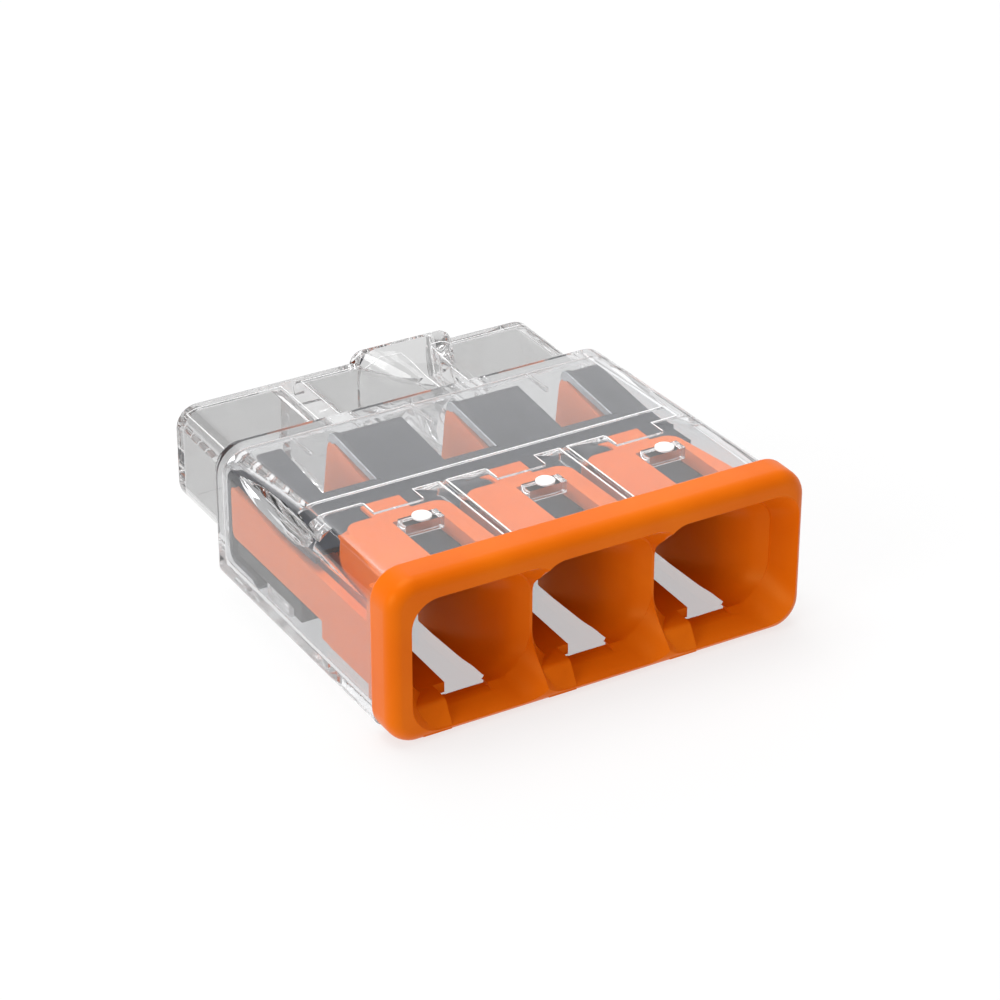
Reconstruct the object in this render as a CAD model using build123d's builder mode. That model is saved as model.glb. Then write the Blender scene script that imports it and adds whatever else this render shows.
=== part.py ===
"""Three-conductor push-in wire connector: clear housing, entry cover, contact bar, sprung clamp sheet.

Frame: +X across the three lanes, +Y from the wire entries towards the rear, +Z up, in millimetres.
The origin is at the middle of the underside of the overall box.
A depth is measured back from the front face.
"""
import math
import os

from build123d import *

# overall size
length = 15.2
plate_width = 14.2
plate_height = 5.4
lane_pitch = 4.2
lanes = (-lane_pitch, 0.0, lane_pitch)
lane_borders = (-lane_pitch / 2, lane_pitch / 2)
seat_gap = 0.02

# entry cover, outside
plate_thickness = 1.2
plate_corner = 0.95
plate_front_round = 0.42
plate_back_round = 0.1
block_width = 3.7
block_bottom = 0.62
block_top = 4.3
block_depth = 5.1
block_corner = 0.5
open_side_bottom = 1.2
side_wall_outer = 6.45
side_wall_thickness = 0.3

# entry cover, wire way
mouth_shift = 0.25
mouth_width = 4.8
mouth_bottom = 0.2
mouth_top = 4.72
mouth_corner = 1.05
throat_depth = 1.05
throat_width = 4.1
throat_bottom = 0.92
throat_top = 4.12
throat_corner = 1.25
guide_depth = 4.8
neck_depth = 1.5
neck_shift = 0.07
neck_width = 3.36
neck_bottom = 1.02
neck_top = 4.02
neck_corner = 1.25
waist_depth = 2.6
waist_width = 2.76
waist_bottom = 1.2
waist_top = 3.85
waist_corner = 1.1
web_back = 1.5
groove_shift = 0.05
groove_half_width = 0.9
groove_end = 1.27
guide_shift = -0.085
guide_half_width = 0.915
guide_bottom = 1.5
guide_top = 3.5
guide_corner = 0.85
slot_shift = 0.18
slot_half_width = 0.65
sill_front = 0.42
sill_back = 0.62
finger_pocket_shift = 0.2
finger_pocket_half_width = 1.0
pocket_front = 1.75
pocket_floor = 3.1
pocket_top = 3.9
view_window_shift = 0.43
view_window_width = 1.5
view_window_front = 2.2
view_window_back = 4.5
tab_width = 1.3
tab_back = 6.3
tab_low = 3.84
tab_high = 3.97
left_fin_thickness = 0.3
right_fin_thickness = 0.32
fin_back = 11.05
fin_bottom = 1.8
fin_front_top = 3.25
fin_rise_depth = 8.2
fin_back_top = 3.65
fin_back_drop = 0.25
low_wall_back = 10.65
low_wall_back_top = 3.55
divider_set_back = 1.0
divider_middle = 2.68
divider_half_height = 1.85

# clear housing, outside
body_half_width = 7.0
body_bottom = 0.15
body_front_top = 5.05
body_back_top = 4.7
body_back = 11.4
body_top_corner = 0.85
body_bottom_corner = 0.4
block_half_width = 6.5
rear_bottom = 0.8
rear_top = 4.15
rear_corner = 0.75
edge_round = 0.22

# clear housing, inside
cavity_half_width = 6.55
cavity_floor = 0.55
socket_ceiling = 4.45
spring_ceiling = 4.02
shoulder_depth = 6.5
cavity_back = 11.1
cavity_corner = 0.35
rib_thickness = 0.3
rib_low = 3.2
rib_high = 3.95
rib_front = 1.6
rib_step = 5.05
thin_rib_shift = -0.3
thin_rib_width = 0.12
thin_rib_drop = 0.1
nub_width = 1.3
nub_front = 3.85
nub_back = 4.38
nub_low = 3.98
pip_radius = 0.37
pip_rise = 0.05
wire_pocket_outer = 6.1
wire_pocket_bottom = 1.05
wire_pocket_top = 3.85
wire_pocket_back = 14.85
wire_pocket_corner = 0.5
left_partition = (-2.9, -2.1)
right_partition = (1.45, 2.55)

# test probe opening in the rear wall
probe_x = 1.6
probe_z = 3.0
probe_collar_front_width = 1.8
probe_collar_front_height = 1.8
probe_collar_back_width = 3.8
probe_collar_back_bottom = 1.1
probe_collar_back_top = 4.5
probe_collar_corner = 0.8
probe_tube_radius = 0.95
probe_mouth_radius = 0.95
probe_bore_radius = 0.6

# clamp sheet and contact bar
sheet = 0.18
sheet_half_width = 6.4
sheet_back = 10.9
sheet_dip_depth = 7.0
sheet_dip_height = 3.55
sheet_back_height = 3.84
sheet_front_height = 3.7
sheet_foot_height = 0.9
sheet_foot_front = 9.1
sheet_foot_hook = 0.2
back_bend = 0.28
hairpin_depth = 2.2
hairpin_radius = 0.18
finger_width = 1.9
tongue_shift = -0.05
tongue_width = 1.4
beam_front = 5.2
beam_back = 8.0
sheet_window_shift = 0.2
sheet_window_width = 2.0
sheet_window_foot = 1.75
tongue_tip_depth = 8.2
tongue_gap = 0.03
bar_half_width = 6.3
bar_bottom = 1.1
bar_top = 1.55
bar_front = 6.4
bar_back = 10.65
bar_hook_length = 0.5
bar_hook_bottom = 0.85
bar_round = 0.12
bar_rest_front = 7.3
bar_rest_back = 8.8
bar_rest_width = 0.6


def y_at(depth):
    return depth - length / 2


def across(depth):
    """Upright plane across the connector: sketch axes are X and Z, and -amount extrudes to the rear."""
    return Plane(origin=(0, y_at(depth), 0), x_dir=(1, 0, 0), z_dir=(0, -1, 0))


def rounded_section(depth, x_mid, width, bottom, top, corner):
    """Rounded rectangle on the cross plane at a depth, between two heights."""
    with BuildSketch(across(depth), mode=Mode.PRIVATE) as section:
        with Locations((x_mid, (bottom + top) / 2)):
            RectangleRounded(width, top - bottom, corner)
    return section.sketch


def circle_section(depth, x_mid, z_mid, radius):
    """Circle on the cross plane at a depth."""
    with BuildSketch(across(depth), mode=Mode.PRIVATE) as section:
        with Locations((x_mid, z_mid)):
            Circle(radius)
    return section.sketch


def side_outline(x, corners):
    """Closed outline on the lengthwise upright plane at X = x; each corner is a depth and a height."""
    with BuildSketch(Plane.YZ.offset(x), mode=Mode.PRIVATE) as outline:
        with BuildLine():
            Polyline([(y_at(depth), height) for depth, height in corners], close=True)
        make_face()
    return outline.sketch


def span_box(x_span, depth_span, z_span):
    """Plain box between two values on each axis."""
    size = [abs(b - a) for a, b in (x_span, depth_span, z_span)]
    x, depth, z = [(a + b) / 2 for a, b in (x_span, depth_span, z_span)]
    return Pos(x, y_at(depth), z) * Box(*size, mode=Mode.PRIVATE)


def wide_box(middle, half_width, depth_span, z_span):
    """Plain box with its X middle and half width, and two values on the other axes."""
    return span_box((middle - half_width, middle + half_width), depth_span, z_span)


def body_top_at(depth):
    """Height of the sloping top face at a depth."""
    slope = (body_back_top - body_front_top) / (body_back - plate_thickness)
    return body_front_top + slope * (depth - plate_thickness)


# ---- clear housing ----------------------------------------------------------------------------------
body_front = plate_thickness + seat_gap
wire_pockets = (
    (-wire_pocket_outer, left_partition[0]),
    (left_partition[1], right_partition[0]),
    (right_partition[1], wire_pocket_outer),
)
with BuildPart() as clear_housing:
    # low and narrow rear block that takes the wire ends
    extrude(rounded_section(cavity_back, 0, 2 * block_half_width, rear_bottom, rear_top, rear_corner),
            amount=-(length - cavity_back))
    fillet(clear_housing.faces().sort_by(Axis.Y)[-1].edges(), edge_round)
    # main body with a slightly sloping top
    side = [
        (body_front, body_bottom),
        (body_back, body_bottom),
        (body_back, body_back_top),
        (body_front, body_front_top),
    ]
    extrude(side_outline(0, side), amount=body_half_width, both=True)
    top_face = clear_housing.faces().sort_by(Axis.Z)[-1]
    fillet(top_face.edges().sort_by(SortBy.LENGTH)[:2], body_top_corner)
    bottom_face = clear_housing.faces().sort_by(Axis.Z)[0]
    fillet(bottom_face.edges().sort_by(SortBy.LENGTH)[:2], body_bottom_corner)
    fillet(clear_housing.faces().filter_by(Axis.Y).sort_by(Axis.Y)[-2].outer_wire().edges(), edge_round)
    # flared collar of the test probe opening, standing proud of the rear block
    half_height = probe_collar_front_height / 2
    loft([
        rounded_section(body_back - 0.1, probe_x, probe_collar_front_width, probe_z - half_height,
                        probe_z + half_height, probe_collar_corner),
        rounded_section(length, probe_x, probe_collar_back_width, probe_collar_back_bottom,
                        probe_collar_back_top, probe_collar_corner),
    ], ruled=True)
    # socket for the entry cover and the lower chamber for the clamp sheet
    cavity_width = 2 * cavity_half_width
    extrude(rounded_section(body_front, 0, cavity_width, cavity_floor, socket_ceiling, cavity_corner),
            amount=-(shoulder_depth - body_front), mode=Mode.SUBTRACT)
    extrude(rounded_section(shoulder_depth, 0, cavity_width, cavity_floor, spring_ceiling, cavity_corner),
            amount=-(cavity_back - shoulder_depth), mode=Mode.SUBTRACT)
    # three pockets for the bared wire ends
    for left, right in wire_pockets:
        extrude(rounded_section(cavity_back, (left + right) / 2, right - left, wire_pocket_bottom,
                                wire_pocket_top, wire_pocket_corner),
                amount=-(wire_pocket_back - cavity_back), mode=Mode.SUBTRACT)
    # tube of the test probe opening through the second partition
    extrude(circle_section(cavity_back, probe_x, probe_z, probe_tube_radius),
            amount=-(length - cavity_back - 0.1))
    with Locations(Plane(origin=(probe_x, y_at(length), probe_z), x_dir=(1, 0, 0), z_dir=(0, 1, 0))):
        CounterSinkHole(probe_bore_radius, probe_mouth_radius, depth=length - cavity_back + 0.1)
    # stepped ribs between the lanes, hanging from the ceiling
    for x in lane_borders:
        add(wide_box(x, rib_thickness / 2, (rib_front, rib_step), (rib_low, socket_ceiling + 0.1)))
        add(wide_box(x, rib_thickness / 2, (rib_step, shoulder_depth), (rib_high, socket_ceiling + 0.1)))
    for lane in lanes:
        # thin rib under the low ceiling, latch nub in the view window, witness pip on top
        add(wide_box(lane + thin_rib_shift, thin_rib_width / 2, (shoulder_depth, cavity_back),
                     (spring_ceiling - thin_rib_drop, spring_ceiling + 0.1)))
        x = lane + view_window_shift
        add(wide_box(x, nub_width / 2, (nub_front, nub_back), (nub_low, socket_ceiling + 0.1)))
        middle = (nub_front + nub_back) / 2
        pip = Cylinder(pip_radius, 2 * pip_rise, mode=Mode.PRIVATE)
        add(Pos(x, y_at(middle), body_top_at(middle)) * pip)
    # low rests under the contact bar
    for x in (-cavity_half_width + bar_rest_width, *lane_borders, cavity_half_width - bar_rest_width):
        add(wide_box(x, bar_rest_width / 2, (bar_rest_front, bar_rest_back),
                     (cavity_floor - 0.1, bar_bottom - seat_gap)))

# ---- entry cover ------------------------------------------------------------------------------------
with BuildPart() as entry_cover:
    # front plate
    extrude(rounded_section(0, 0, plate_width, 0, plate_height, plate_corner), amount=-plate_thickness)
    fillet(entry_cover.faces().sort_by(Axis.Y)[0].edges(), plate_front_round)
    fillet(entry_cover.faces().sort_by(Axis.Y)[-1].edges(), plate_back_round)
    # one block behind the plate for each lane, rounded at its rear corners
    for lane in lanes:
        with BuildSketch(Plane.XY.offset(block_bottom)):
            with Locations((lane, y_at((plate_thickness - 0.1 + block_depth) / 2))):
                block_outline = Rectangle(block_width, block_depth - plate_thickness + 0.1)
            fillet(block_outline.vertices().group_by(Axis.Y)[-1], block_corner)
        extrude(amount=block_top - block_bottom)
    # low web that closes the gaps between the blocks against the plate
    add(wide_box(0, side_wall_outer, (plate_thickness - 0.1, web_back), (block_bottom, block_top)))
    # side walls: tall against the plate, low beside the blocks and the clamp sheet
    wall_front = plate_thickness - 0.1
    wall = [
        (wall_front, open_side_bottom),
        (guide_depth, open_side_bottom),
        (guide_depth, fin_bottom),
        (low_wall_back, fin_bottom),
        (low_wall_back, low_wall_back_top),
        (sheet_dip_depth, fin_front_top),
        (web_back, fin_front_top),
        (web_back, block_top),
        (wall_front, block_top),
    ]
    for x in (-side_wall_outer, side_wall_outer - side_wall_thickness):
        extrude(side_outline(x, wall), amount=side_wall_thickness)
    # guide fins behind each block, on both sides of the tongue, and the tab behind each view window
    fin = [
        (block_depth - 0.6, fin_bottom),
        (fin_back, fin_bottom),
        (fin_back, fin_back_top - fin_back_drop),
        (fin_back - fin_back_drop, fin_back_top),
        (fin_rise_depth, fin_front_top + 0.05),
        (sheet_dip_depth, fin_front_top),
        (block_depth - 0.6, fin_front_top),
    ]
    low_fin = [
        (block_depth - 0.6, fin_bottom),
        (low_wall_back, fin_bottom),
        (low_wall_back, low_wall_back_top),
        (sheet_dip_depth, fin_front_top),
        (block_depth - 0.6, fin_front_top),
    ]
    for lane in lanes:
        x = lane + guide_shift - guide_half_width - left_fin_thickness
        extrude(side_outline(x, low_fin), amount=left_fin_thickness)
        x = lane + guide_shift + guide_half_width
        extrude(side_outline(x, fin), amount=right_fin_thickness)
        add(wide_box(lane + mouth_shift, tab_width / 2, (block_depth - 0.1, tab_back), (tab_low, tab_high)))
    for lane in lanes:
        # stepped wire way: wide rounded funnel in the plate, then a narrowing guide in the block
        mouth = lane + mouth_shift
        guide = lane + guide_shift
        throat = (mouth, throat_width, throat_bottom, throat_top, throat_corner)
        neck = (lane + neck_shift, neck_width, neck_bottom, neck_top, neck_corner)
        waist = (lane, waist_width, waist_bottom, waist_top, waist_corner)
        guide_end = (guide, 2 * guide_half_width, guide_bottom, guide_top, guide_corner)
        loft([
            rounded_section(-0.05, mouth, mouth_width + 0.05, mouth_bottom - 0.03, mouth_top + 0.03,
                            mouth_corner),
            rounded_section(throat_depth, *throat),
        ], ruled=True, mode=Mode.SUBTRACT)
        loft([
            rounded_section(throat_depth - 0.02, *throat),
            rounded_section(neck_depth, *neck),
            rounded_section(waist_depth, *waist),
            rounded_section(guide_depth, *guide_end),
        ], ruled=True, mode=Mode.SUBTRACT)
        add(wide_box(guide, guide_half_width, (guide_depth - 0.3, block_depth + 0.1),
                     (guide_bottom, pocket_floor + 0.1)), mode=Mode.SUBTRACT)
        # shallow groove in the sill of the mouth
        sill = [(0.3, sill_front), (groove_end, sill_back), (groove_end, neck_bottom), (0.3, neck_bottom)]
        extrude(side_outline(lane + groove_shift - groove_half_width, sill), amount=2 * groove_half_width,
                mode=Mode.SUBTRACT)
        # open floor of the block, pocket for the clamp finger, view window
        add(wide_box(lane + slot_shift, slot_half_width, (groove_end, block_depth + 0.1),
                     (block_bottom - 0.1, 2.2)), mode=Mode.SUBTRACT)
        add(wide_box(lane + finger_pocket_shift, finger_pocket_half_width, (pocket_front, block_depth + 0.1),
                     (pocket_floor, pocket_top)), mode=Mode.SUBTRACT)
        add(wide_box(lane + view_window_shift, view_window_width / 2, (view_window_front, view_window_back),
                     (pocket_top - 0.1, block_top + 0.1)), mode=Mode.SUBTRACT)
        # the left wall of the block stops above the floor
        add(span_box((lane - block_width / 2 - 0.1, lane - waist_width / 2 - 0.1),
                     (groove_end, block_depth + 0.1), (block_bottom - 0.1, open_side_bottom)),
            mode=Mode.SUBTRACT)
    # the dividers between the mouths are hollowed back in an arc
    arc_radius = (divider_half_height ** 2 + divider_set_back ** 2) / (2 * divider_set_back)
    with BuildSketch(Plane.YZ):
        with Locations((y_at(divider_set_back - arc_radius), divider_middle)):
            Circle(arc_radius)
    extrude(amount=lane_pitch, both=True, mode=Mode.SUBTRACT)

# ---- clamp sheet, fixed part ------------------------------------------------------------------------
hairpin_height = sheet_front_height - hairpin_radius
tongue_tip_height = bar_top + sheet / 2 + tongue_gap
tongue_angle = math.degrees(math.atan2(hairpin_height - hairpin_radius - tongue_tip_height,
                                       tongue_tip_depth - hairpin_depth))
with BuildPart() as clamp_spring:
    with BuildSketch(Plane.YZ):
        with BuildLine():
            run = FilletPolyline(
                (y_at(sheet_foot_front), sheet_foot_height - sheet_foot_hook),
                (y_at(sheet_foot_front + 0.35), sheet_foot_height),
                (y_at(sheet_back), sheet_foot_height),
                (y_at(sheet_back), sheet_back_height),
                (y_at(sheet_dip_depth), sheet_dip_height),
                (y_at(hairpin_depth), sheet_front_height),
                radius=back_bend,
            )
            CenterArc((y_at(hairpin_depth), hairpin_height), hairpin_radius, 90, 180 - tongue_angle)
        trace(line_width=sheet)
    extrude(amount=sheet_half_width, both=True)
    for lane in lanes:
        # opening over each lane, round the rear bend and down to the foot
        add(wide_box(lane + sheet_window_shift, sheet_window_width / 2, (beam_back, sheet_back + 0.2),
                     (sheet_window_foot, sheet_back_height + 0.2)), mode=Mode.SUBTRACT)
    # the front is cut into three fingers
    finger_edges = [-sheet_half_width - 0.1]
    for lane in lanes:
        middle = lane + finger_pocket_shift
        finger_edges += [middle - finger_width / 2, middle + finger_width / 2]
    finger_edges.append(sheet_half_width + 0.1)
    for left, right in zip(finger_edges[::2], finger_edges[1::2]):
        add(span_box((left, right), (hairpin_depth - 0.5, beam_front),
                     (hairpin_height - 0.5, sheet_front_height + 0.2)), mode=Mode.SUBTRACT)

# ---- clamp tongues, the moving fingers --------------------------------------------------------------
root_angle = math.radians(270 - tongue_angle)
root_depth = hairpin_depth + hairpin_radius * math.cos(root_angle) + 0.002
root_height = hairpin_height + hairpin_radius * math.sin(root_angle)


def clamp_tongue(lane):
    """Straight sloping tongue of one lane, from the hairpin down to just above the contact bar."""
    with BuildPart() as tongue:
        with BuildSketch(Plane.YZ.offset(lane + tongue_shift)):
            with BuildLine():
                Line((y_at(root_depth), root_height), (y_at(tongue_tip_depth), tongue_tip_height))
            trace(line_width=sheet)
        extrude(amount=tongue_width / 2, both=True)
    return tongue.part


tongue_names = ("clamp_tongue_left", "clamp_tongue_centre", "clamp_tongue_right")
clamp_tongues = [clamp_tongue(lane) for lane in lanes]

# ---- contact bar ------------------------------------------------------------------------------------
with BuildPart() as busbar:
    bar = [
        (bar_front, bar_hook_bottom),
        (bar_front + bar_hook_length, bar_hook_bottom),
        (bar_front + bar_hook_length, bar_bottom),
        (bar_back, bar_bottom),
        (bar_back, bar_top),
        (bar_front, bar_top),
    ]
    extrude(side_outline(0, bar), amount=bar_half_width, both=True)
    fillet(busbar.edges().filter_by(Axis.X).group_by(Axis.Z)[-1], bar_round)

os.makedirs("parts", exist_ok=True)
clear_housing.part.label = "clear_housing"
export_step(clear_housing.part, "parts/clear_housing.step")
entry_cover.part.label = "entry_cover"
export_step(entry_cover.part, "parts/entry_cover.step")
busbar.part.label = "busbar"
export_step(busbar.part, "parts/busbar.step")
clamp_spring.part.label = "clamp_spring"
export_step(clamp_spring.part, "parts/clamp_spring.step")
for tongue_name, tongue_part in zip(tongue_names, clamp_tongues):
    tongue_part.label = tongue_name
    export_step(tongue_part, f"parts/{tongue_name}.step")
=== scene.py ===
"""Push-in wire connector in a plain studio.

A clear housing, an orange entry cover, a contact bar and a sprung clamp sheet with three tongues.
"""

import math

import bmesh
import bpy
from mathutils import Matrix, Vector


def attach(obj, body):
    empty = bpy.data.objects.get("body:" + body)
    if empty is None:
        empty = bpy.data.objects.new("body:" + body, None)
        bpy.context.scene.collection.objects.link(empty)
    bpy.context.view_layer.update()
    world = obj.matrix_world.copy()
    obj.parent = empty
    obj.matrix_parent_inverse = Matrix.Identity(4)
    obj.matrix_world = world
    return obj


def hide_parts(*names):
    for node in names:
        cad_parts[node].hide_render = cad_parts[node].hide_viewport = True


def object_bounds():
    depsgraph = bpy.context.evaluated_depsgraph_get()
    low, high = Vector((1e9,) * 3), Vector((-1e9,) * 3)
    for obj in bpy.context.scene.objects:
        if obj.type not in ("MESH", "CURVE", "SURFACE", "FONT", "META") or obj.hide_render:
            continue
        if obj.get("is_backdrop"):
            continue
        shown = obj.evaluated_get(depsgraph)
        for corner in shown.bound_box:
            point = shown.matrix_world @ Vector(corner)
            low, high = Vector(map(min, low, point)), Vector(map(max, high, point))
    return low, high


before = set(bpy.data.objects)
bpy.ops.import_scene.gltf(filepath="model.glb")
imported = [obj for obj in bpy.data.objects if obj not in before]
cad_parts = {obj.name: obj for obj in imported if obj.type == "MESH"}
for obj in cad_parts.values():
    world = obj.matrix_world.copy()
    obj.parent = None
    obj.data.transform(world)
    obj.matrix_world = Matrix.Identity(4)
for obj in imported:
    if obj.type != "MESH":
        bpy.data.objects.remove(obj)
low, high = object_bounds()

MM = 0.001
POLYCARBONATE_IOR = 1.585


def srgb(hex_colour):
    """Linear RGBA of a hex colour."""
    values = [int(hex_colour[i:i + 2], 16) / 255 for i in (0, 2, 4)]
    linear = [v / 12.92 if v <= 0.04045 else ((v + 0.055) / 1.055) ** 2.4 for v in values]
    return (*linear, 1.0)


class Shader:
    """A node material built from a Principled shader, with helpers for the procedural detail."""

    def __init__(self, name):
        self.material = bpy.data.materials.new(name)
        self.material.use_nodes = True
        self.nodes = self.material.node_tree.nodes
        self.links = self.material.node_tree.links
        self.bsdf = self.nodes["Principled BSDF"]
        self.output = self.nodes["Material Output"]

    def value(self, socket, value):
        self.bsdf.inputs[socket].default_value = value

    def noise(self, scale, detail=3.0, stretch=(1, 1, 1), seed=(0, 0, 0)):
        """Noise in object space, in features per metre."""
        place = self.nodes.new("ShaderNodeTexCoord")
        mapping = self.nodes.new("ShaderNodeMapping")
        mapping.inputs["Scale"].default_value = stretch
        mapping.inputs["Location"].default_value = seed
        noise = self.nodes.new("ShaderNodeTexNoise")
        noise.inputs["Scale"].default_value = scale
        noise.inputs["Detail"].default_value = detail
        self.links.new(place.outputs["Object"], mapping.inputs["Vector"])
        self.links.new(mapping.outputs["Vector"], noise.inputs["Vector"])
        return noise.outputs["Fac"]

    def ramp(self, source, stops):
        """Colour ramp; stops are (position, linear colour)."""
        ramp = self.nodes.new("ShaderNodeValToRGB")
        ramp.color_ramp.elements[0].position = stops[0][0]
        ramp.color_ramp.elements[0].color = stops[0][1]
        ramp.color_ramp.elements[1].position = stops[-1][0]
        ramp.color_ramp.elements[1].color = stops[-1][1]
        for position, colour in stops[1:-1]:
            ramp.color_ramp.elements.new(position).color = colour
        self.links.new(source, ramp.inputs["Fac"])
        return ramp.outputs["Color"]

    def span(self, source, low, high):
        """Maps a 0 to 1 value to a range."""
        span = self.nodes.new("ShaderNodeMapRange")
        span.inputs["To Min"].default_value = low
        span.inputs["To Max"].default_value = high
        self.links.new(source, span.inputs["Value"])
        return span.outputs["Result"]

    def bump(self, source, strength, distance):
        bump = self.nodes.new("ShaderNodeBump")
        bump.inputs["Strength"].default_value = strength
        bump.inputs["Distance"].default_value = distance
        self.links.new(source, bump.inputs["Height"])
        self.links.new(bump.outputs["Normal"], self.bsdf.inputs["Normal"])

    def link(self, output, socket):
        self.links.new(output, self.bsdf.inputs[socket])


def clear_plastic():
    """Clear polycarbonate: refracting, polished, with faint flow waviness.

    Shadow rays pass straight through, so light reaches the pieces inside.
    """
    s = Shader("clear_polycarbonate")
    # painted shade: the rear block gets a darker grey base colour, standing in for the shade under
    # and inside it; the colour changes over a short depth at its front
    place = s.nodes.new("ShaderNodeTexCoord")
    split = s.nodes.new("ShaderNodeSeparateXYZ")
    s.links.new(place.outputs["Object"], split.inputs["Vector"])
    depth = s.nodes.new("ShaderNodeMapRange")
    depth.inputs["From Min"].default_value = 0.0036
    depth.inputs["From Max"].default_value = 0.0039
    s.links.new(split.outputs["Y"], depth.inputs["Value"])
    # the second colour is painted shade for the rear block
    body_tint, block_painted_shade = (0.795, 0.8, 0.81, 1), (0.66, 0.66, 0.66, 1)
    s.link(s.ramp(depth.outputs["Result"], [(0.0, body_tint), (1.0, block_painted_shade)]), "Base Color")
    s.value("IOR", POLYCARBONATE_IOR)
    s.value("Transmission Weight", 1.0)
    s.link(s.span(s.noise(900, 2), 0.0, 0.02), "Roughness")
    s.bump(s.noise(260, 1), 0.015, 0.0001)
    path = s.nodes.new("ShaderNodeLightPath")
    clear = s.nodes.new("ShaderNodeBsdfTransparent")
    clear.inputs["Color"].default_value = (0.96, 0.96, 0.96, 1)
    mix = s.nodes.new("ShaderNodeMixShader")
    s.links.new(path.outputs["Is Shadow Ray"], mix.inputs["Fac"])
    s.links.new(s.bsdf.outputs["BSDF"], mix.inputs[1])
    s.links.new(clear.outputs["BSDF"], mix.inputs[2])
    s.links.new(mix.outputs["Shader"], s.output.inputs["Surface"])
    return s.material


def painted_highlight_plastic():
    """The same polycarbonate, milky white and satin with a faint glow: a painted highlight for the
    bright lines along ribs and steps and the bright gate marks.
    """
    s = Shader("painted_highlight_polycarbonate")
    s.value("Base Color", (0.95, 0.95, 0.95, 1))
    s.value("Transmission Weight", 0.25)
    s.value("IOR", POLYCARBONATE_IOR)
    s.link(s.span(s.noise(2500, 3), 0.35, 0.55), "Roughness")
    # the glow is painted light: these lines and marks shine though no lamp lights them
    s.value("Emission Color", (1, 1, 1, 1))
    s.value("Emission Strength", 0.12)
    s.bump(s.noise(9000, 2), 0.1, 0.00001)
    return s.material


def orange_plastic():
    """Orange polyamide: semi-gloss, with faint mottling and a fine spark-eroded grain."""
    s = Shader("orange_polyamide")
    s.link(s.ramp(s.noise(350, 3), [(0.3, srgb("D86003")), (0.7, srgb("E16B08"))]), "Base Color")
    s.value("Specular Tint", (1.0, 0.75, 0.2, 1))
    s.value("Specular IOR Level", 0.22)
    s.link(s.span(s.noise(1200, 3), 0.3, 0.42), "Roughness")
    s.bump(s.noise(9000, 3), 0.12, 0.00002)
    return s.material


def spring_steel():
    """Bare stainless spring strip with fine rolling lines along the wire direction."""
    s = Shader("spring_steel")
    s.value("Metallic", 1.0)
    grain = s.noise(2500, 4, stretch=(6, 0.4, 1))
    s.link(s.ramp(grain, [(0.3, srgb("262A33")), (0.7, srgb("353945"))]), "Base Color")
    s.link(s.span(grain, 0.28, 0.45), "Roughness")
    s.bump(grain, 0.1, 0.00002)
    return s.material


def cut_steel_painted_highlight():
    """Freshly cut edge of the strip, made far lighter than the rolled faces: its cut finish plus a
    painted highlight for the light on that narrow face.
    """
    s = Shader("cut_steel_painted_highlight")
    s.value("Metallic", 0.7)
    grain = s.noise(3000, 3, stretch=(1, 1, 5))
    s.link(s.ramp(grain, [(0.3, srgb("A8ACB2")), (0.7, srgb("C6CACF"))]), "Base Color")
    s.link(s.span(grain, 0.4, 0.55), "Roughness")
    s.bump(grain, 0.1, 0.00002)
    return s.material


def tinned_copper():
    """Tin plated copper bar: soft satin grey with slight blotches."""
    s = Shader("tinned_copper")
    s.value("Metallic", 1.0)
    blotch = s.noise(700, 4)
    s.link(s.ramp(blotch, [(0.3, srgb("3A3838")), (0.7, srgb("4C4A4A"))]), "Base Color")
    s.link(s.span(blotch, 0.3, 0.5), "Roughness")
    s.bump(s.noise(5000, 3), 0.1, 0.00002)
    return s.material


def dress(name, material):
    """Gives a carried-over CAD node its material."""
    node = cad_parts[name]
    node.data.materials.clear()
    node.data.materials.append(material)


# ---- mesh building, in millimetres; a depth is measured back from the front face ---------------
HALF_LENGTH = 7.6
LANES = (-4.2, 0.0, 4.2)
RING_STEPS = 10
CORNER_STEPS = 6
LARGEST_CORNER = 0.999
SMALLEST_CORNER = 0.001
WELD_DISTANCE = 1e-5
STATION_GAP = 0.02
LINE_THICKNESS = 0.02
FACE_WEIGHT = 80
# a loft step longer than the object, so there are no rings between the stations
STRAIGHT = 30


def ring(depth, x_mid, half_width, bottom, top, corner, low_corner=None):
    """Rounded rectangle across the connector at a depth; every ring has the same number of points."""
    low_corner = corner if low_corner is None else low_corner
    limit = min(half_width, (top - bottom) / 2) * LARGEST_CORNER
    corner = max(min(corner, limit), SMALLEST_CORNER)
    low_corner = max(min(low_corner, limit), SMALLEST_CORNER)
    quarters = (
        (x_mid + half_width - corner, top - corner, corner, 0),
        (x_mid - half_width + corner, top - corner, corner, 90),
        (x_mid - half_width + low_corner, bottom + low_corner, low_corner, 180),
        (x_mid + half_width - low_corner, bottom + low_corner, low_corner, 270),
    )
    points = []
    for x, z, radius, start in quarters:
        for step in range(RING_STEPS + 1):
            angle = math.radians(start + 90 * step / RING_STEPS)
            points.append((x + radius * math.cos(angle), depth - HALF_LENGTH,
                           z + radius * math.sin(angle)))
    return points


def circle(centre, radius, step):
    """Points round a circle in its own plane, a number of degrees apart."""
    angles = [math.radians(a) for a in range(0, 360, step)]
    return [(centre[0] + radius * math.cos(a), centre[1] + radius * math.sin(a)) for a in angles]


def mesh_of(name, vertices, faces):
    """Mesh object with its double points welded and its normals facing out."""
    mesh = bpy.data.meshes.new(name)
    mesh.from_pydata(vertices, [], faces)
    build = bmesh.new()
    build.from_mesh(mesh)
    bmesh.ops.remove_doubles(build, verts=build.verts, dist=WELD_DISTANCE)
    bmesh.ops.recalc_face_normals(build, faces=build.faces)
    build.to_mesh(mesh)
    build.free()
    item = bpy.data.objects.new(name, mesh)
    scene.collection.objects.link(item)
    return item


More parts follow.
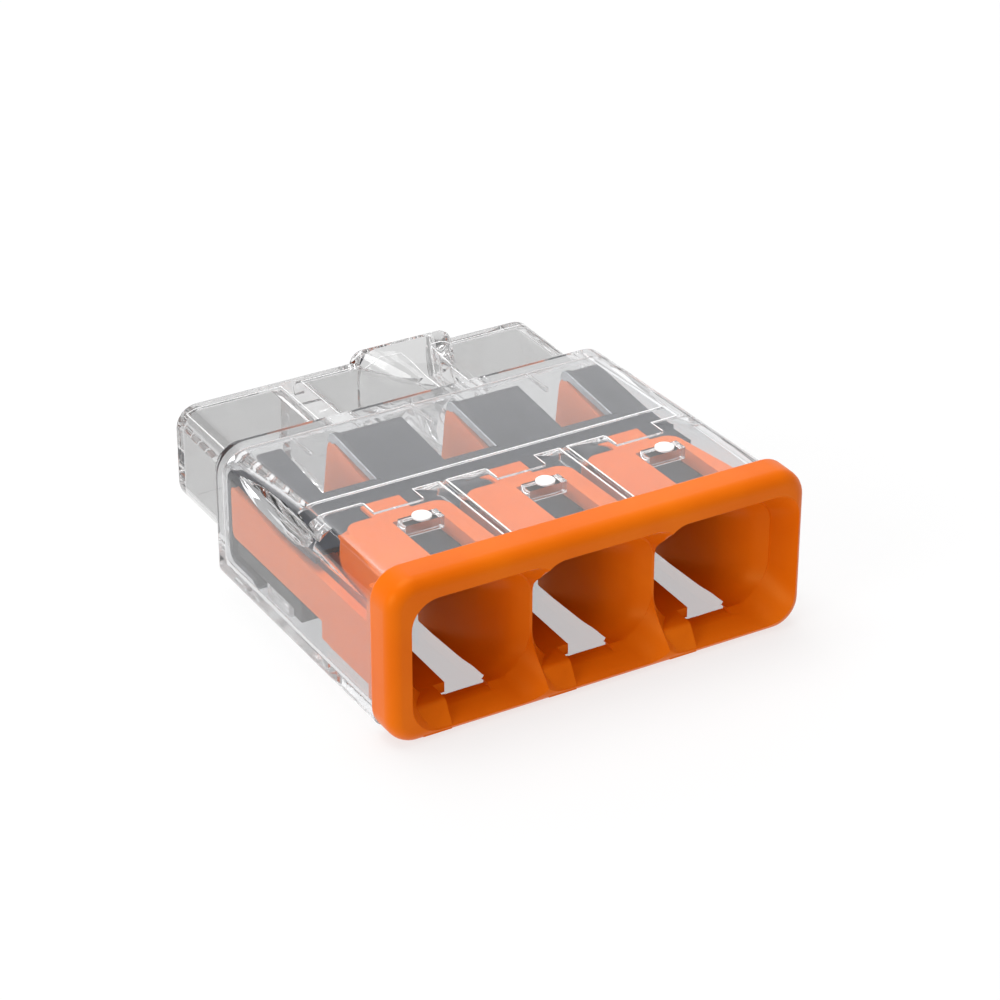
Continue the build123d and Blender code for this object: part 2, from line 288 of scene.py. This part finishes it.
def skin(name, rings):
    """Closed solid through a list of rings, with flat end caps."""
    count = len(rings[0])
    vertices = [point for points in rings for point in points]
    last = len(vertices) - count
    faces = [tuple(range(count)), tuple(reversed(range(last, len(vertices))))]
    for i in range(len(rings) - 1):
        for j in range(count):
            k = (j + 1) % count
            near, far = i * count, (i + 1) * count
            faces.append((near + j, far + j, far + k, near + k))
    return mesh_of(name, vertices, faces)


def steady_curve(stations, depth):
    """Smooth values between stations (depth, values...) that never overshoot."""
    if depth <= stations[0][0]:
        return stations[0][1:]
    if depth >= stations[-1][0]:
        return stations[-1][1:]
    i = max(j for j in range(len(stations) - 1) if stations[j][0] <= depth)
    values = []
    for k in range(1, len(stations[0])):
        slopes = [(q[k] - p[k]) / (q[0] - p[0]) for p, q in zip(stations, stations[1:])]

        def tangent(j):
            if j == 0:
                return slopes[0]
            if j == len(slopes):
                return slopes[-1]
            before, after = slopes[j - 1], slopes[j]
            return 0 if before * after <= 0 else 2 * before * after / (before + after)

        v0, v1 = stations[i][k], stations[i + 1][k]
        span = stations[i + 1][0] - stations[i][0]
        t = (depth - stations[i][0]) / span
        values.append(v0 * (1 + 2 * t) * (1 - t) ** 2 + span * tangent(i) * t * (1 - t) ** 2
                      + v1 * t * t * (3 - 2 * t) - span * tangent(i + 1) * t * t * (1 - t))
    return values


def rounded_loft(name, stations, front_round=0.0, back_round=0.0, step=0.12, round_steps=6):
    """Solid with rounded ends through stations.

    A station is (depth, x_mid, half_width, bottom, top, corner, low_corner).
    """
    front, back = stations[0][0], stations[-1][0]
    cuts = []
    for i in range(round_steps + 1 if front_round else 1):
        angle = math.radians(90 * i / round_steps)
        cuts.append((front + front_round * (1 - math.cos(angle)),
                     front_round * (1 - math.sin(angle))))
    start, end = front + front_round, back - back_round
    inner = [start + step * i for i in range(1, int((end - start) / step) + 1)]
    inner = [d for d in inner if d < end - STATION_GAP]
    inner += [p[0] for p in stations if start + STATION_GAP < p[0] < end - STATION_GAP]
    cuts += [(d, 0.0) for d in sorted(set(round(d, 4) for d in inner))]
    for i in range(round_steps + 1 if back_round else 1):
        angle = math.radians(90 * i / round_steps)
        cuts.append((back - back_round * (1 - math.sin(angle)), back_round * (1 - math.cos(angle))))
    rings = []
    for depth, inset in cuts:
        x_mid, half_width, bottom, top, corner, low_corner = steady_curve(stations, depth)
        rings.append(ring(depth, x_mid, half_width - inset, bottom + inset, top - inset,
                          corner - inset, low_corner - inset))
    return skin(name, rings)


def bar_block(name, x_span, depth_span, z_span, soft=0.03, back_corner=0.0, back_shift=(0.0, 0.0)):
    """Straight block with softened edges.

    back_corner rounds its two upright rear edges, and back_shift moves them in X, left and right.
    """
    (x0, x1), (d0, d1), (z0, z1) = x_span, depth_span, z_span
    outline = []
    left, right = back_shift
    corners = ((x1 + right, d1, back_corner or soft, 0), (x0 + left, d1, back_corner or soft, 90),
               (x0, d0, soft, 180), (x1, d0, soft, 270))
    for x, d, radius, start in corners:
        sx = -1 if start in (0, 270) else 1
        sd = -1 if d == d1 else 1
        for i in range(CORNER_STEPS + 1):
            angle = math.radians(start + 90 * i / CORNER_STEPS)
            outline.append((x + sx * radius + radius * math.cos(angle),
                            d + sd * radius + radius * math.sin(angle)))
    mid_x = (x0 + x1) / 2
    mid_d = (d0 + d1) / 2
    rings = []
    bevel = soft * 0.3
    levels = [(z0, soft), (z0 + bevel, bevel), (z0 + soft, 0),
              (z1 - soft, 0), (z1 - bevel, bevel), (z1, soft)]
    for z, inset in levels:
        kx = 1 - inset / ((x1 - x0) / 2)
        kd = 1 - inset / ((d1 - d0) / 2)
        rings.append([(mid_x + (x - mid_x) * kx, mid_d + (d - mid_d) * kd - HALF_LENGTH, z)
                      for x, d in outline])
    return skin(name, rings)


def prism(name, x_span, profile):
    """Solid of a closed side profile (depth, height) between two X values."""
    rings = [[(x, d - HALF_LENGTH, z) for d, z in profile] for x in x_span]
    return skin(name, rings)


def combine(base, tools, operation):
    """Boolean of base with each tool in turn; the tools are used up."""
    for tool in tools:
        step = base.modifiers.new("combine", "BOOLEAN")
        step.operation = operation
        step.solver = "EXACT"
        step.object = tool
        view = bpy.context.evaluated_depsgraph_get()
        result = bpy.data.meshes.new_from_object(base.evaluated_get(view))
        base.modifiers.clear()
        spent = base.data
        base.data = result
        bpy.data.meshes.remove(spent)
        bpy.data.objects.remove(tool)
    return base


def joined(name, pieces):
    """One mesh object out of several."""
    first = pieces[0]
    build = bmesh.new()
    for piece in pieces:
        build.from_mesh(piece.data)
    build.to_mesh(first.data)
    build.free()
    for piece in pieces[1:]:
        bpy.data.objects.remove(piece)
    first.name = name
    return first


def finish_piece(item, material, body, nodes, smooth_angle=32):
    """Scales a piece to metres, smooths it, gives it its material and body.

    Where it stands in for CAD nodes, it replaces them.
    """
    item.data.transform(Matrix.Scale(MM, 4))
    item.data.materials.clear()
    item.data.materials.append(material)
    item.data.polygons.foreach_set("use_smooth", [True] * len(item.data.polygons))
    item.data.set_sharp_from_angle(angle=math.radians(smooth_angle))
    weighted = item.modifiers.new("flat_faces_stay_flat", "WEIGHTED_NORMAL")
    weighted.keep_sharp = True
    weighted.weight = FACE_WEIGHT
    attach(item, body)
    if nodes:
        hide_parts(*nodes)
    return item


# ---- entry cover -------------------------------------------------------------------------------
FIN_LEAN = 0.125
FIN_TOP = 3.6
LEFT_TAPER = 0.18
RIGHT_TAPER = 0.42
INNER_TAPER = 0.08


def build_entry_cover():
    """Front plate, side walls, lane blocks and fins, with the mouths and wire ways cut through."""
    plate = (0, 7.1, 0, 5.4, 0.95, 0.95)
    cover = rounded_loft("entry_cover_shell", [(0, *plate), (1.2, *plate)],
                         front_round=0.42, back_round=0.1, step=0.3)
    rounded_back = [(10.5, 1.8), (10.62, 1.92), (10.65, 2.1), (10.65, 3.4), (10.6, 3.5), (10.5, 3.54)]
    wall = [(1.1, 1.2), (4.8, 1.2), (4.8, 1.8), *rounded_back, (7.0, 3.25), (2.0, 3.25),
            (1.95, 4.2), (1.85, 4.3), (1.1, 4.3)]
    low_fin = [(4.5, 1.8), *rounded_back, (7.0, 3.25), (4.5, 3.25)]
    high_fin = [(4.5, 1.8), (10.95, 1.8), (11.05, 1.95), (11.05, 3.35), (11.0, 3.52),
                (10.88, 3.62), (10.7, 3.65), (8.3, 3.3), (7.0, 3.25), (4.5, 3.25)]
    parts = [prism("wall", (-6.45, -6.15), wall), prism("wall", (6.15, 6.45), wall),
             bar_block("web", (-6.43, 6.43), (1.05, 2.0), (0.64, 4.28))]
    for lane in LANES:
        taper = (LEFT_TAPER if lane == LANES[0] else 0,
                 -RIGHT_TAPER if lane == LANES[-1] else -INNER_TAPER)
        parts.append(bar_block("lane_block", (lane - 1.87, lane + 1.87), (1.08, 5.1), (0.62, 4.3),
                               0.05, 0.5, taper))
        parts.append(prism("low_fin", (lane - 1.3, lane - 1.0), low_fin))
        # the left face of the high fin leans, so that its top lies under the sheet's cut edge
        leaning = [(lane + 0.98 - FIN_LEAN * (FIN_TOP - z), d - HALF_LENGTH, z) for d, z in high_fin]
        upright = [(lane + 1.15, d - HALF_LENGTH, z) for d, z in high_fin]
        parts.append(skin("high_fin", [leaning, upright]))
        parts.append(bar_block("tab", (lane - 0.4, lane + 0.9), (4.9, 6.3), (3.84, 3.97), 0.02))
    combine(cover, parts, "UNION")
    cuts = []
    for lane in LANES:
        lead_in = [
            (-0.2, 0.25, 2.5, 0.1, 4.84, 0.9, 1.0),
            (0.0, 0.25, 2.43, 0.22, 4.7, 0.9, 1.05),
            (0.2, 0.25, 2.36, 0.34, 4.56, 0.9, 1.1),
            (1.05, 0.25, 2.1, 0.72, 4.12, 0.85, 1.25),
        ]
        way = [
            (0.98, 0.27, 2.1, 0.68, 4.12, 0.85, 1.3),
            (1.5, 0.15, 1.78, 0.6, 4.02, 1.0, 1.15),
            (2.0, 0.07, 1.58, 0.58, 3.94, 1.05, 0.95),
            (2.6, 0.0, 1.38, 0.57, 3.85, 1.1, 0.75),
            (3.6, -0.05, 1.13, 0.56, 3.68, 1.0, 0.45),
            (4.8, -0.085, 0.915, 0.56, 3.5, 0.85, 0.12),
            (5.4, -0.085, 0.915, 0.56, 3.5, 0.85, 0.1),
        ]
        for stations in (lead_in, way):
            in_lane = [(p[0], p[1] + lane, *p[2:]) for p in stations]
            cuts.append(rounded_loft("way", in_lane, step=0.12))
        for name, left, right, depths, heights, soft in (
            ("sill", -0.86, 0.84, (-0.2, 1.3), (0.58, 1.5), 0.03),
            ("slot_front", -0.47, 0.83, (1.0, 5.3), (0.56, 0.9), 0.01),
            ("pocket", -0.8, 1.2, (1.75, 5.35), (3.1, 3.9), 0.02),
            ("view_window", -0.32, 1.18, (2.2, 4.5), (3.8, 4.5), 0.03),
        ):
            cuts.append(bar_block(name, (lane + left, lane + right), depths, heights, soft))
    # the dividers between the mouths are set back along an arc
    cuts.append(prism("divider_arc", (LANES[0], LANES[-1]), circle((-1.25, 2.68), 2.2, 5)))
    combine(cover, cuts, "DIFFERENCE")
    # wedge and ledge at the left of each wire way
    ledges = []
    for lane in LANES:
        wedge = [(0.06, 0.15), (0.1, 0.36), (0.4, 0.88), (0.46, 0.94), (0.55, 0.97),
                 (1.5, 0.98), (1.5, 0.15)]
        ledge = [(1.2, 0.64), (1.2, 0.98), (5.08, 1.05), (5.08, 0.64)]
        ledges.append(prism("wedge", (lane - 1.8, lane - 0.86), wedge))
        ledges.append(prism("ledge", (lane - 1.86, lane - 0.47), ledge))
    combine(cover, ledges, "UNION")
    return cover


# ---- clear housing -----------------------------------------------------------------------------
INNER_HALF_WIDTH = 6.55
INNER_FLOOR = 0.55
PROBE_X = 1.6
RIBS = (-2.1, 2.1)
POCKETS = ((-6.1, -2.9), (-2.1, 1.45), (2.55, 6.1))
RECESS_REACH = 1.95
EDGE_HEIGHT = 4.47


def top_at(depth):
    """Height of the sloping top face."""
    front_height, drop, front_depth, run = 5.05, 0.35, 1.2, 10.2
    return front_height - drop * (depth - front_depth) / run


def recess_span(lane, wall):
    """Left and right ends of a lane's recesses: beside its ribs, or at the wall."""
    left = lane - RECESS_REACH if lane > LANES[0] else -wall
    right = lane + RECESS_REACH if lane < LANES[-1] else wall
    return left, right


def thin_line(name, points, width):
    """Flat ribbon of constant width along points (x, depth, z), lying level."""
    left, right = [], []
    for k, (x, d, z) in enumerate(points):
        before = points[max(k - 1, 0)]
        after = points[min(k + 1, len(points) - 1)]
        along = Vector((after[0] - before[0], after[1] - before[1])).normalized()
        side = Vector((-along.y, along.x)) * width / 2
        left.append((x + side.x, d + side.y - HALF_LENGTH, z))
        right.append((x - side.x, d - side.y - HALF_LENGTH, z))
    rings = []
    for (lx, ly, lz), (rx, ry, rz) in zip(left, right):
        rings.append([(lx, ly, lz), (rx, ry, rz),
                      (rx, ry, rz - LINE_THICKNESS), (lx, ly, lz - LINE_THICKNESS)])
    return skin(name, rings)


def build_clear_housing():
    """Body and rear block with the probe collar, hollowed out, with ribs, rails, nubs and rests."""
    body = [(1.22, 0, 7.0, 0.15, 5.05, 0.85, 0.4), (11.4, 0, 7.0, 0.15, 4.7, 0.85, 0.4)]
    housing = rounded_loft("clear_housing_shell", body, back_round=0.24, step=STRAIGHT)
    block = [(11.0, 0, 6.5, 0.8, 4.15, 0.75, 0.75), (15.2, 0, 6.5, 0.8, 4.15, 0.75, 0.75)]
    collar = [
        (11.0, PROBE_X, 0.9, 2.1, 3.9, 0.8, 0.8),
        (12.6, PROBE_X, 1.1, 1.9, 4.08, 0.75, 0.8),
        (13.8, PROBE_X, 1.45, 1.5, 4.32, 0.65, 0.8),
        (14.7, PROBE_X, 1.75, 1.2, 4.46, 0.55, 0.85),
        (15.2, PROBE_X, 1.9, 1.1, 4.5, 0.5, 0.85),
    ]
    combine(housing, [rounded_loft("rear_block", block, back_round=0.22, step=STRAIGHT),
                      rounded_loft("probe_collar", collar, back_round=0.12, step=0.2)], "UNION")
    # hollow inside: socket for the cover, chamber for the sheet, wire pockets
    cuts = [
        rounded_loft(name, [(front, 0, INNER_HALF_WIDTH, INNER_FLOOR, front_top, 0.4, low_corner),
                            (back, 0, INNER_HALF_WIDTH, INNER_FLOOR, back_top, 0.4, low_corner)],
                     back_round=back_round, step=STRAIGHT)
        for name, front, back, front_top, back_top, low_corner, back_round in (
            ("socket", 1.0, 5.1, 4.45, 4.45, 0.3, 0.0),
            ("band", 5.0, 6.6, 4.36, 4.36, 0.3, 0.0),
            ("chamber", 6.5, 11.1, 4.28, 4.05, 0.35, 0.15),
        )
    ]
    for (x0, x1), outer in zip(POCKETS, (-1, 0, 1)):
        corner = 0.4 if outer else 0.3
        middle = (x0 + x1) / 2
        section = (middle, (x1 - x0) / 2, 1.05, 3.85, corner, corner)
        cuts.append(rounded_loft("wire_pocket", [(11.0, *section), (14.85, *section)],
                                 back_round=0.1, step=STRAIGHT))
        if outer:
            # squarer corners on the side of an outer pocket that faces the middle
            inner = sorted((x1 if outer < 0 else x0, middle))
            cuts.append(bar_block("wire_pocket_inner", inner, (11.0, 14.84), (1.06, 3.84), 0.1))
    for lane in LANES:
        left, right = recess_span(lane, 6.5)
        cuts.append(bar_block("recess", (left, lane - 0.6), (4.9, 5.8), (4.2, 4.45), 0.03, 0.08))
        cuts.append(bar_block("recess", (lane + 1.08, right), (4.9, 5.8), (4.2, 4.45), 0.03, 0.08))
    combine(housing, cuts, "DIFFERENCE")
    tube = [
        (11.05, PROBE_X, 0.95, 2.05, 3.95, 0.9, 0.9),
        (13.0, PROBE_X, 1.05, 1.85, 4.0, 0.9, 0.9),
        (14.9, PROBE_X, 1.75, 1.25, 4.2, 0.7, 0.9),
    ]
    inner = [rounded_loft("probe_tube", tube, step=0.3)]
    for x in RIBS:
        inner.append(bar_block("lane_rib", (x - 0.15, x + 0.15), (1.5, 5.05), (3.2, 4.6), 0.02))
        inner.append(bar_block("lane_rib_tail", (x - 0.15, x + 0.15), (4.8, 5.82), (3.95, 4.6), 0.02))
    for side in (-1, 1):
        # spindle-shaped rail: (depth, how far it stands in from the wall, its underside)
        rail = [(5.0, 0.02, 4.2), (5.4, 0.09, 3.9), (6.2, 0.17, 3.7), (7.4, 0.22, 3.68),
                (8.8, 0.21, 3.76), (10.0, 0.13, 3.86), (11.1, 0.02, 4.0)]
        rings = []
        for depth, reach, underside in rail:
            inner_x, outer_x = side * (6.56 - reach), side * 6.7
            section = ((inner_x, underside + 0.1), (outer_x, underside),
                       (outer_x, 4.5), (inner_x, 4.5))
            rings.append([(x, depth - HALF_LENGTH, z) for x, z in section])
        inner.append(skin("side_rail", rings))
    for lane in LANES:
        inner.append(bar_block("nub", (lane - 0.22, lane + 1.08), (3.85, 4.38), (3.98, 4.6), 0.02))
        inner.append(bar_block("thin_rib", (lane - 0.36, lane - 0.24), (9.7, 11.15),
                               (4.0, 4.5), 0.01))
    for x in (-5.95, -2.1, 2.1, 5.95):
        inner.append(bar_block("bar_rest", (x - 0.3, x + 0.3), (7.3, 8.8), (0.45, 1.08), 0.05))
    combine(housing, inner, "UNION")
    bore = [
        (10.9, PROBE_X, 0.6, 2.4, 3.6, 0.599, 0.599),
        (13.2, PROBE_X, 0.6, 2.4, 3.6, 0.599, 0.599),
        (14.2, PROBE_X, 0.9, 2.1, 3.85, 0.6, 0.7),
        (15.3, PROBE_X, 1.3, 1.7, 4.2, 0.5, 0.8),
    ]
    combine(housing, [rounded_loft("bore", bore, step=0.2)], "DIFFERENCE")
    return housing


def level(outline, height=EDGE_HEIGHT):
    """Points (x, depth) at one height."""
    return [(x, depth, height) for x, depth in outline]


def build_painted_highlight_lines():
    """Gate marks on top, and thin ribbons along the edges of ribs and steps a hair inside the walls;
    they carry the painted highlight lines and spots of the clear plastic.
    """
    pieces = []
    for lane in LANES:
        depth = 3.92
        rings = []
        for height, radius in ((-0.08, 0.2), (-0.08, 0.3), (0.03, 0.3), (0.05, 0.27), (0.05, 0.15)):
            rings.append([(x, y, top_at(depth) + height)
                          for x, y in circle((lane + 0.34, depth - HALF_LENGTH), radius, 10)])
        pieces.append(skin("gate_mark", rings))
    for x in RIBS:
        for edge in (-0.13, 0.13):
            pieces.append(thin_line("rib_edge", level([(x + edge, 1.6), (x + edge, 5.8)]), 0.06))
    for lane in LANES:
        left, right = recess_span(lane, 6.2)
        outlines = ([(left, 5.8), (lane - 0.66, 5.8), (lane - 0.6, 5.74), (lane - 0.6, 5.15)],
                    [(right, 5.8), (lane + 1.08, 5.8), (lane + 1.08, 5.15)])
        for outline in outlines:
            pieces.append(thin_line("recess_edge", level(outline), 0.045))
    pieces.append(thin_line("step_edge", level([(-6.15, 6.6), (6.15, 6.6)], 4.38), 0.05))
    for lane in LANES:
        outline = [(lane - 0.18, 4.36), (lane - 0.18, 3.89), (lane + 1.04, 3.89), (lane + 1.04, 4.36)]
        pieces.append(thin_line("nub_edge", level(outline, 4.02), 0.035))
    for x0, x1 in POCKETS:
        outline = [(x0 - 0.04, 11.5), (x0 - 0.04, 14.89), (x1 + 0.04, 14.89), (x1 + 0.04, 11.5)]
        pieces.append(thin_line("pocket_edge", level(outline, 3.88), 0.05))
    return joined("painted_highlight_lines", pieces)


def sheet_edges(name, x0, x1):
    """Cut edges of the sheet beside each opening, from x0 to x1 right of the lane's middle."""
    run = [(7.95, 3.52), (10.55, 3.71), (10.75, 3.6), (10.82, 3.3), (11.0, 3.3), (11.0, 3.68),
           (10.9, 3.86), (10.7, 3.925), (7.95, 3.725)]
    return joined(name, [prism(name, (lane + x0, lane + x1), run) for lane in LANES])


# ---- the pieces on their body ------------------------------------------------------------------
CLEAR_SMOOTH_ANGLE = 28

scene = bpy.context.scene
steel = spring_steel()
finish_piece(build_clear_housing(), clear_plastic(), "housing", ["clear_housing"],
             CLEAR_SMOOTH_ANGLE)
# painted highlight lines and gate-mark spots on the clear housing
finish_piece(build_painted_highlight_lines(), painted_highlight_plastic(), "housing", [],
             CLEAR_SMOOTH_ANGLE)
finish_piece(build_entry_cover(), orange_plastic(), "housing", ["entry_cover"])
finish_piece(sheet_edges("sheet_edge", 1.03, 1.2), steel, "housing", [])
# the sheet's cut face in lighter steel: cut finish plus painted highlight
finish_piece(sheet_edges("sheet_cut_face", 0.98, 1.03), cut_steel_painted_highlight(), "housing", [])
dress("busbar", tinned_copper())
for node_name in ("clamp_spring", "clamp_tongue_left", "clamp_tongue_centre", "clamp_tongue_right"):
    dress(node_name, steel)

# ---- studio ------------------------------------------------------------------------------------
WHITE = (1, 1, 1, 1)
WORLD_STRENGTH = 0.5
FLOOR_HALF_SIZE = 1.0
FLOOR_DROP = 0.00002
FLOOR_GREY = (0.22, 0.22, 0.22, 1)
FLOOR_GLOW = 0.715

world = bpy.data.worlds.new("studio")
scene.world = world
world.use_nodes = True
world.node_tree.nodes["Background"].inputs["Color"].default_value = WHITE
world.node_tree.nodes["Background"].inputs["Strength"].default_value = WORLD_STRENGTH


def floor_plane():
    """Pale paper just under the object, with a faint glow so that it comes out near white."""
    mesh = bpy.data.meshes.new("floor")
    half = FLOOR_HALF_SIZE
    corners = [(-half, -half, 0), (half, -half, 0), (half, half, 0), (-half, half, 0)]
    mesh.from_pydata(corners, [], [(0, 1, 2, 3)])
    floor = bpy.data.objects.new("floor", mesh)
    floor.location = (0, 0, low[2] - FLOOR_DROP)
    scene.collection.objects.link(floor)
    s = Shader("studio_paper")
    s.value("Base Color", FLOOR_GREY)
    s.value("Roughness", 0.9)
    s.value("Specular IOR Level", 0.0)
    s.value("Emission Color", WHITE)
    s.value("Emission Strength", FLOOR_GLOW)
    floor.data.materials.append(s.material)
    floor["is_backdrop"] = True


floor_plane()


def area_light(name, place, target, size, power):
    """Rectangular lamp at a place, facing a target."""
    light = bpy.data.lights.new(name, "AREA")
    light.shape = "RECTANGLE"
    light.size = size[0]
    light.size_y = size[1]
    light.energy = power
    lamp = bpy.data.objects.new(name, light)
    lamp.location = place
    lamp.rotation_euler = (Vector(target) - Vector(place)).to_track_quat("-Z", "Y").to_euler()
    scene.collection.objects.link(lamp)


area_light("overhead", (-0.03, 0.06, 0.3), (0, 0, 0), (0.25, 0.25), 0.8)
area_light("back_card", (0.19, 0.33, 0.2), (0, 0, 0), (0.4, 0.3), 0.29)
area_light("rim_light", (-0.1, -0.26, 0.28), (0, 0, 0.003), (0.3, 0.06), 0.02)
area_light("mouth_fill", (-0.3, -0.22, 0.08), (0, 0, 0.002), (0.15, 0.15), 0.05)
area_light("side_fill", (-0.37, -0.06, 0.14), (0, 0, 0.002), (0.25, 0.2), 0.62)

# ---- camera ------------------------------------------------------------------------------------
SENSOR_WIDTH = 36
azimuth = math.radians(-29.794)
elevation = math.radians(28.797)
roll = math.radians(-0.151)
distance = 0.10428
focal_ratio = 3.382
target = Vector((0, 0.514, 3.043)) * MM
aim_offset = (-0.03487, -0.01877)
back = Vector((math.sin(azimuth) * math.cos(elevation),
               -math.cos(azimuth) * math.cos(elevation), math.sin(elevation)))
right = Vector((0, 0, 1)).cross(back).normalized()
up = back.cross(right)
right, up = (math.cos(roll) * right + math.sin(roll) * up,
             math.cos(roll) * up - math.sin(roll) * right)
place = target + back * distance
# the target sits a little left of and above the picture's middle
aim = -back - right * aim_offset[0] / focal_ratio + up * aim_offset[1] / focal_ratio
aim = aim.normalized()
right = aim.cross(up).normalized()
up = right.cross(aim)
camera_data = bpy.data.cameras.new("camera")
camera_data.sensor_width = SENSOR_WIDTH
camera_data.lens = SENSOR_WIDTH * focal_ratio
camera_data.clip_start = 0.001
camera = bpy.data.objects.new("camera", camera_data)
camera.matrix_world = Matrix.Translation(place) @ Matrix((right, up, -aim)).transposed().to_4x4()
scene.collection.objects.link(camera)
scene.camera = camera
scene.view_settings.view_transform = "Standard"
# enough light bounces for the paths trapped in the clear walls
LIGHT_BOUNCES = 40
scene.cycles.max_bounces = LIGHT_BOUNCES
scene.cycles.transmission_bounces = LIGHT_BOUNCES
scene.cycles.glossy_bounces = LIGHT_BOUNCES

low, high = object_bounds()
